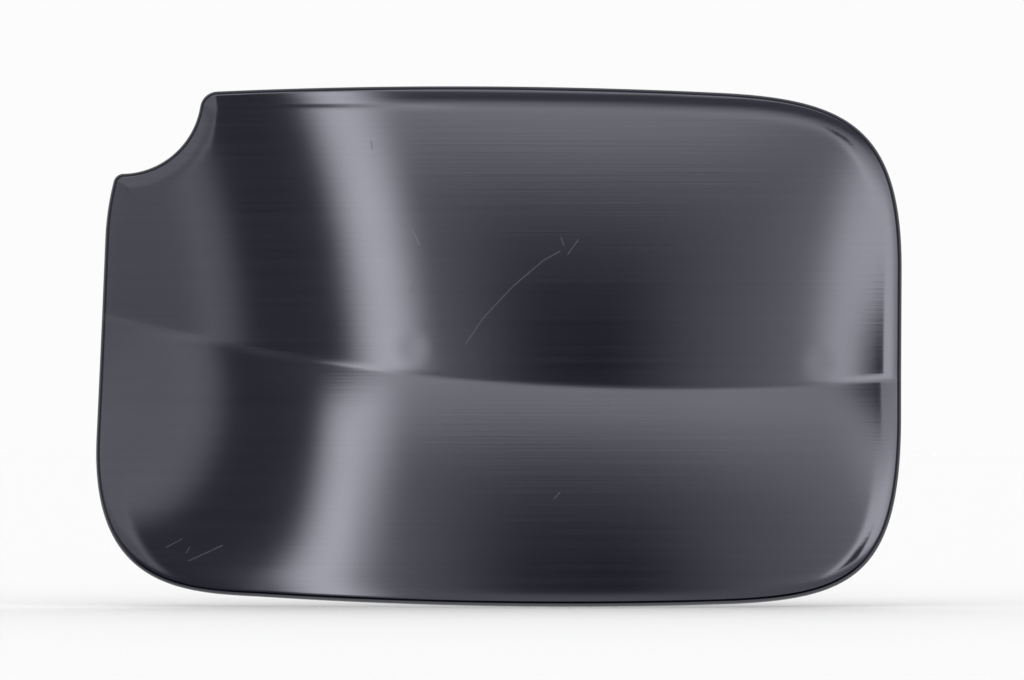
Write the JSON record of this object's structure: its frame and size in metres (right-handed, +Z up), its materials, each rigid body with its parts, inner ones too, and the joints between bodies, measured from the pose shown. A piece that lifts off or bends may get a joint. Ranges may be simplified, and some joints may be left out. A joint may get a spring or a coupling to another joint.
{
  "type": "car fuel door",
  "caption": "Black pressed-steel car fuel door with a hemmed, creased skin, a finger notch in one corner and a hidden spring-closed hinge on a screw-on bracket.",
  "frame": {"origin": "centre of the two screw holes, on the face of the hinge bracket that seats on the car body", "axes": "+X along the car towards the hinge edge, -Y out of the car body through the outer face, +Z up"},
  "size_m": [0.2011, 0.0501, 0.1296],
  "materials": {
    "black_skin": "satin black dip coat with fine lengthwise streaks",
    "black_primer": "matt black dip coat",
    "zinc_steel": "dull zinc plate",
    "bright_steel": "turned, bright",
    "spring_steel": "oiled dark wire",
    "natural_plastic": "moulded, natural",
    "black_rubber": "matt moulded"
  },
  "bodies": {
    "hinge_base": {"hinge_bracket": "zinc_steel", "hinge_pin": "bright_steel", "pin_washer": "bright_steel", "pin_clip": "spring_steel", "spring_sleeve": "natural_plastic", "closing_spring": "spring_steel"},
    "door": {"outer_skin": "black_skin", "inner_panel": "black_primer", "hinge_arm": "zinc_steel", "arm_rivets": "bright_steel", "upper_bush": "natural_plastic", "lower_bush": "natural_plastic", "upper_buffer": "black_rubber", "lower_buffer": "black_rubber"}
  },
  "joints": [
    {"name": "door_hinge", "type": "hinge", "parent": "hinge_base", "child": "door", "pos_m": [0.013, -0.03, 0], "axis": [0, 0, 1], "range_deg": [0, 95], "stiffness_Nm_per_rad": 0.02, "springref_deg": -34.38, "deforming": ["closing_spring"]}
  ]
}
